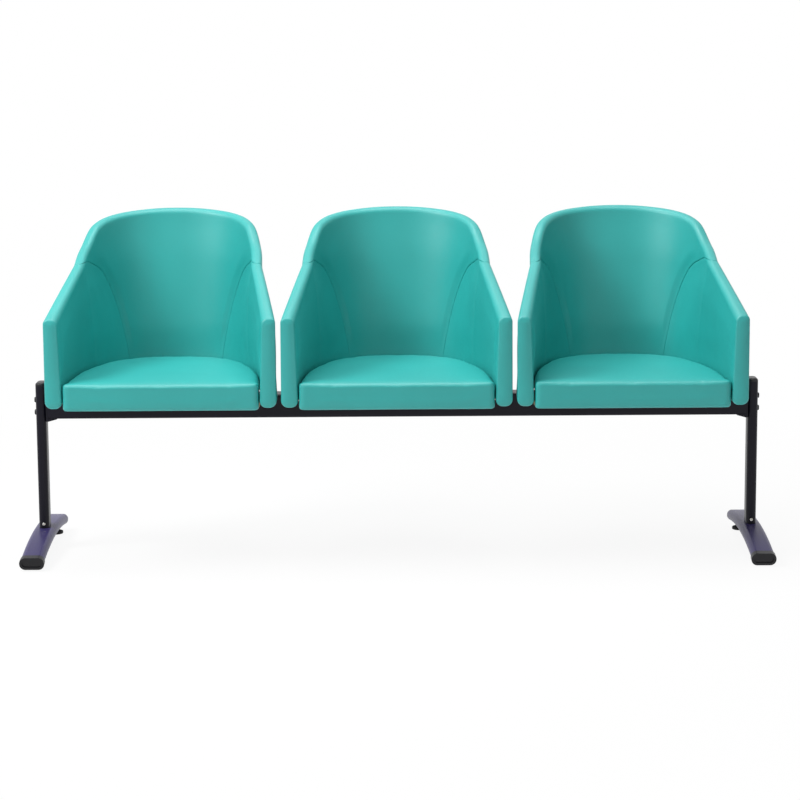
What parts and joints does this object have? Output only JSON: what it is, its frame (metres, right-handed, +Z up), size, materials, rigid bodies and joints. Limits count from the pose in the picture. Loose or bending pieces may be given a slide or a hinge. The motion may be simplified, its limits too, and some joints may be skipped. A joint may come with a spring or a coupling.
{
  "type": "beam seating",
  "caption": "Beam seat: upholstered tub chairs with arms in a row on one steel beam between two posts on arched feet with levelling glides.",
  "frame": {"origin": "middle of the bounding box at floor level, below the middle of the beam", "axes": "+X along the row to a sitter's left, chairs face -Y, +Z up"},
  "size_m": [1.884, 0.5802, 0.858],
  "materials": {
    "turquoise_leatherette": "smooth embossed artificial leather, satin",
    "black_enamel": "black powder coat with a faint navy cast, semi-gloss",
    "foot_enamel": "dark navy lacquer, glossy",
    "black_plastic": "moulded black plastic, fine texture",
    "glide_rubber": "black rubber, matt",
    "zinc_steel": "bright zinc plated steel",
    "plywood": "raw birch plywood",
    "dust_cloth": "black non-woven lining cloth"
  },
  "bodies": {
    "frame": {"beam": "black_enamel", "beam_bolts": "zinc_steel", "bracket_screws": "zinc_steel", "chair_1_back": "turquoise_leatherette", "chair_1_back_core": "plywood", "chair_1_dust_cover": "dust_cloth", "chair_1_left_arm": "turquoise_leatherette", "chair_1_left_arm_core": "plywood", "chair_1_left_bracket": "black_enamel", "chair_1_right_arm": "turquoise_leatherette", "chair_1_right_arm_core": "plywood", "chair_1_right_bracket": "black_enamel", "chair_1_seat_board": "plywood", "chair_1_seat_cushion": "turquoise_leatherette", "chair_2_back": "turquoise_leatherette", "chair_2_back_core": "plywood", "chair_2_dust_cover": "dust_cloth", "chair_2_left_arm": "turquoise_leatherette", "chair_2_left_arm_core": "plywood", "chair_2_left_bracket": "black_enamel", "chair_2_right_arm": "turquoise_leatherette", "chair_2_right_arm_core": "plywood", "chair_2_right_bracket": "black_enamel", "chair_2_seat_board": "plywood", "chair_2_seat_cushion": "turquoise_leatherette", "chair_3_back": "turquoise_leatherette", "chair_3_back_core": "plywood", "chair_3_dust_cover": "dust_cloth", "chair_3_left_arm": "turquoise_leatherette", "chair_3_left_arm_core": "plywood", "chair_3_left_bracket": "black_enamel", "chair_3_right_arm": "turquoise_leatherette", "chair_3_right_arm_core": "plywood", "chair_3_right_bracket": "black_enamel", "chair_3_seat_board": "plywood", "chair_3_seat_cushion": "turquoise_leatherette", "foot_screws": "zinc_steel", "glide_bushes": "zinc_steel", "left_end_bracket": "black_enamel", "left_foot": "foot_enamel", "left_heel_cap": "black_plastic", "left_post": "black_enamel", "left_post_cap": "black_plastic", "left_toe_cap": "black_plastic", "right_end_bracket": "black_enamel", "right_foot": "foot_enamel", "right_heel_cap": "black_plastic", "right_post": "black_enamel", "right_post_cap": "black_plastic", "right_toe_cap": "black_plastic", "seat_bolts": "zinc_steel", "tub_screws": "zinc_steel"},
    "left_front_glide": {"left_front_glide_pad": "glide_rubber"},
    "left_front_stud": {"left_front_glide_stud": "zinc_steel"},
    "left_rear_glide": {"left_rear_glide_pad": "glide_rubber"},
    "left_rear_stud": {"left_rear_glide_stud": "zinc_steel"},
    "right_front_glide": {"right_front_glide_pad": "glide_rubber"},
    "right_front_stud": {"right_front_glide_stud": "zinc_steel"},
    "right_rear_glide": {"right_rear_glide_pad": "glide_rubber"},
    "right_rear_stud": {"right_rear_glide_stud": "zinc_steel"}
  },
  "joints": [
    {"name": "left_front_glide_travel", "type": "slide", "parent": "frame", "child": "left_front_glide", "axis": [0, 0, -1], "range_m": [0, 0.01]},
    {"name": "left_front_stud_turn", "type": "hinge", "parent": "left_front_glide", "child": "left_front_stud", "pos_m": [-0.911, -0.196, 0.02], "axis": [0, 0, -1], "range_deg": [0, 2400]},
    {"name": "left_rear_glide_travel", "type": "slide", "parent": "frame", "child": "left_rear_glide", "axis": [0, 0, -1], "range_m": [0, 0.01]},
    {"name": "left_rear_stud_turn", "type": "hinge", "parent": "left_rear_glide", "child": "left_rear_stud", "pos_m": [-0.911, 0.188, 0.02], "axis": [0, 0, -1], "range_deg": [0, 2400]},
    {"name": "right_front_glide_travel", "type": "slide", "parent": "frame", "child": "right_front_glide", "axis": [0, 0, -1], "range_m": [0, 0.01]},
    {"name": "right_front_stud_turn", "type": "hinge", "parent": "right_front_glide", "child": "right_front_stud", "pos_m": [0.911, -0.196, 0.02], "axis": [0, 0, -1], "range_deg": [0, 2400]},
    {"name": "right_rear_glide_travel", "type": "slide", "parent": "frame", "child": "right_rear_glide", "axis": [0, 0, -1], "range_m": [0, 0.01]},
    {"name": "right_rear_stud_turn", "type": "hinge", "parent": "right_rear_glide", "child": "right_rear_stud", "pos_m": [0.911, 0.188, 0.02], "axis": [0, 0, -1], "range_deg": [0, 2400]}
  ],
  "couplings": [
    {"joint": "left_front_stud_turn", "follows": "left_front_glide_travel", "rad_per_m": 4188.8},
    {"joint": "left_rear_stud_turn", "follows": "left_rear_glide_travel", "rad_per_m": 4188.8},
    {"joint": "right_front_stud_turn", "follows": "right_front_glide_travel", "rad_per_m": 4188.8},
    {"joint": "right_rear_stud_turn", "follows": "right_rear_glide_travel", "rad_per_m": 4188.8}
  ]
}
